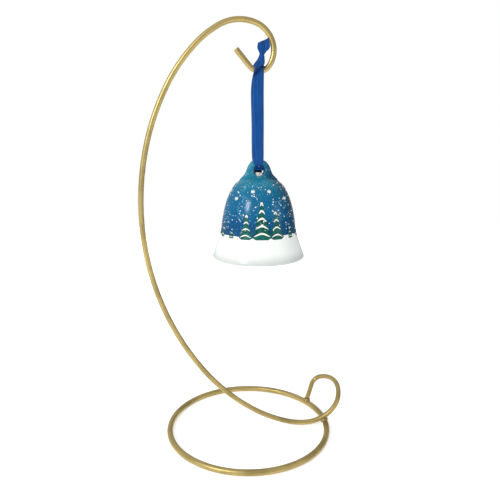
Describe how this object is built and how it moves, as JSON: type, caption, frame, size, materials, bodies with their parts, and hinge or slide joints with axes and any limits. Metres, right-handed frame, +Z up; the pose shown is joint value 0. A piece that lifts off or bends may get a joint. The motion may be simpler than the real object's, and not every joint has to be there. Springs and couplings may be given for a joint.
{
  "type": "porcelain bell on a wire stand",
  "caption": "Painted porcelain bell with a hidden clapper, hung by a knotted satin ribbon from the hook of a bent-wire table stand.",
  "frame": {"origin": "on the table, under the middle of the whole object's box", "axes": "+Z up, X across in the plane of the bent arm with the hook's opening facing -X and the raised loop at +X, +Y to the back"},
  "size_m": [0.1402, 0.114, 0.2732],
  "materials": {
    "gold_wire": "satin gold plating on drawn wire",
    "brazing": "dull brazed fillet under the plating",
    "satin_ribbon": "royal blue woven satin with a selvedge on each edge",
    "painted_porcelain": "glossy glaze over a painted night sky and snow",
    "white_porcelain": "glossy white glaze",
    "white_cord": "twisted off-white cord"
  },
  "bodies": {
    "stand": {"base_ring": "gold_wire", "arm_wire": "gold_wire", "arm_weld": "brazing", "tail_weld": "brazing"},
    "ribbon_top": {"ribbon_knot": "satin_ribbon", "ribbon_tail_front": "satin_ribbon", "ribbon_tail_back": "satin_ribbon"},
    "ribbon": {"ribbon_loop": "satin_ribbon"},
    "bell": {"bell_shell": "painted_porcelain", "clapper_knot": "white_cord"},
    "clapper_neck": {"clapper_cord_neck": "white_cord"},
    "clapper": {"clapper_cord": "white_cord", "clapper_bead": "white_porcelain", "clapper_stop": "white_cord"}
  },
  "joints": [
    {"name": "ribbon_swing", "type": "hinge", "parent": "stand", "child": "ribbon_top", "pos_m": [0.00782, 0, 0.24159], "axis": [1, 0, 0], "range_deg": [-30, 30]},
    {"name": "bell_turn", "type": "hinge", "parent": "ribbon_top", "child": "ribbon", "pos_m": [0.00732, 0, 0.236], "axis": [0, 0, 1], "range_deg": [-90, 90], "stiffness_Nm_per_rad": 0.00018},
    {"name": "bell_rock", "type": "hinge", "parent": "ribbon", "child": "bell", "pos_m": [0.00732, 0, 0.18079], "axis": [0, 1, 0], "range_deg": [-25, 25]},
    {"name": "clapper_turn", "type": "hinge", "parent": "bell", "child": "clapper_neck", "pos_m": [0.00732, 0, 0.17254], "axis": [0, 0, 1], "range_deg": [-180, 180]},
    {"name": "clapper_swing", "type": "hinge", "parent": "clapper_neck", "child": "clapper", "pos_m": [0.00732, 0, 0.17024], "axis": [1, 0, 0], "range_deg": [-29, 29]}
  ]
}
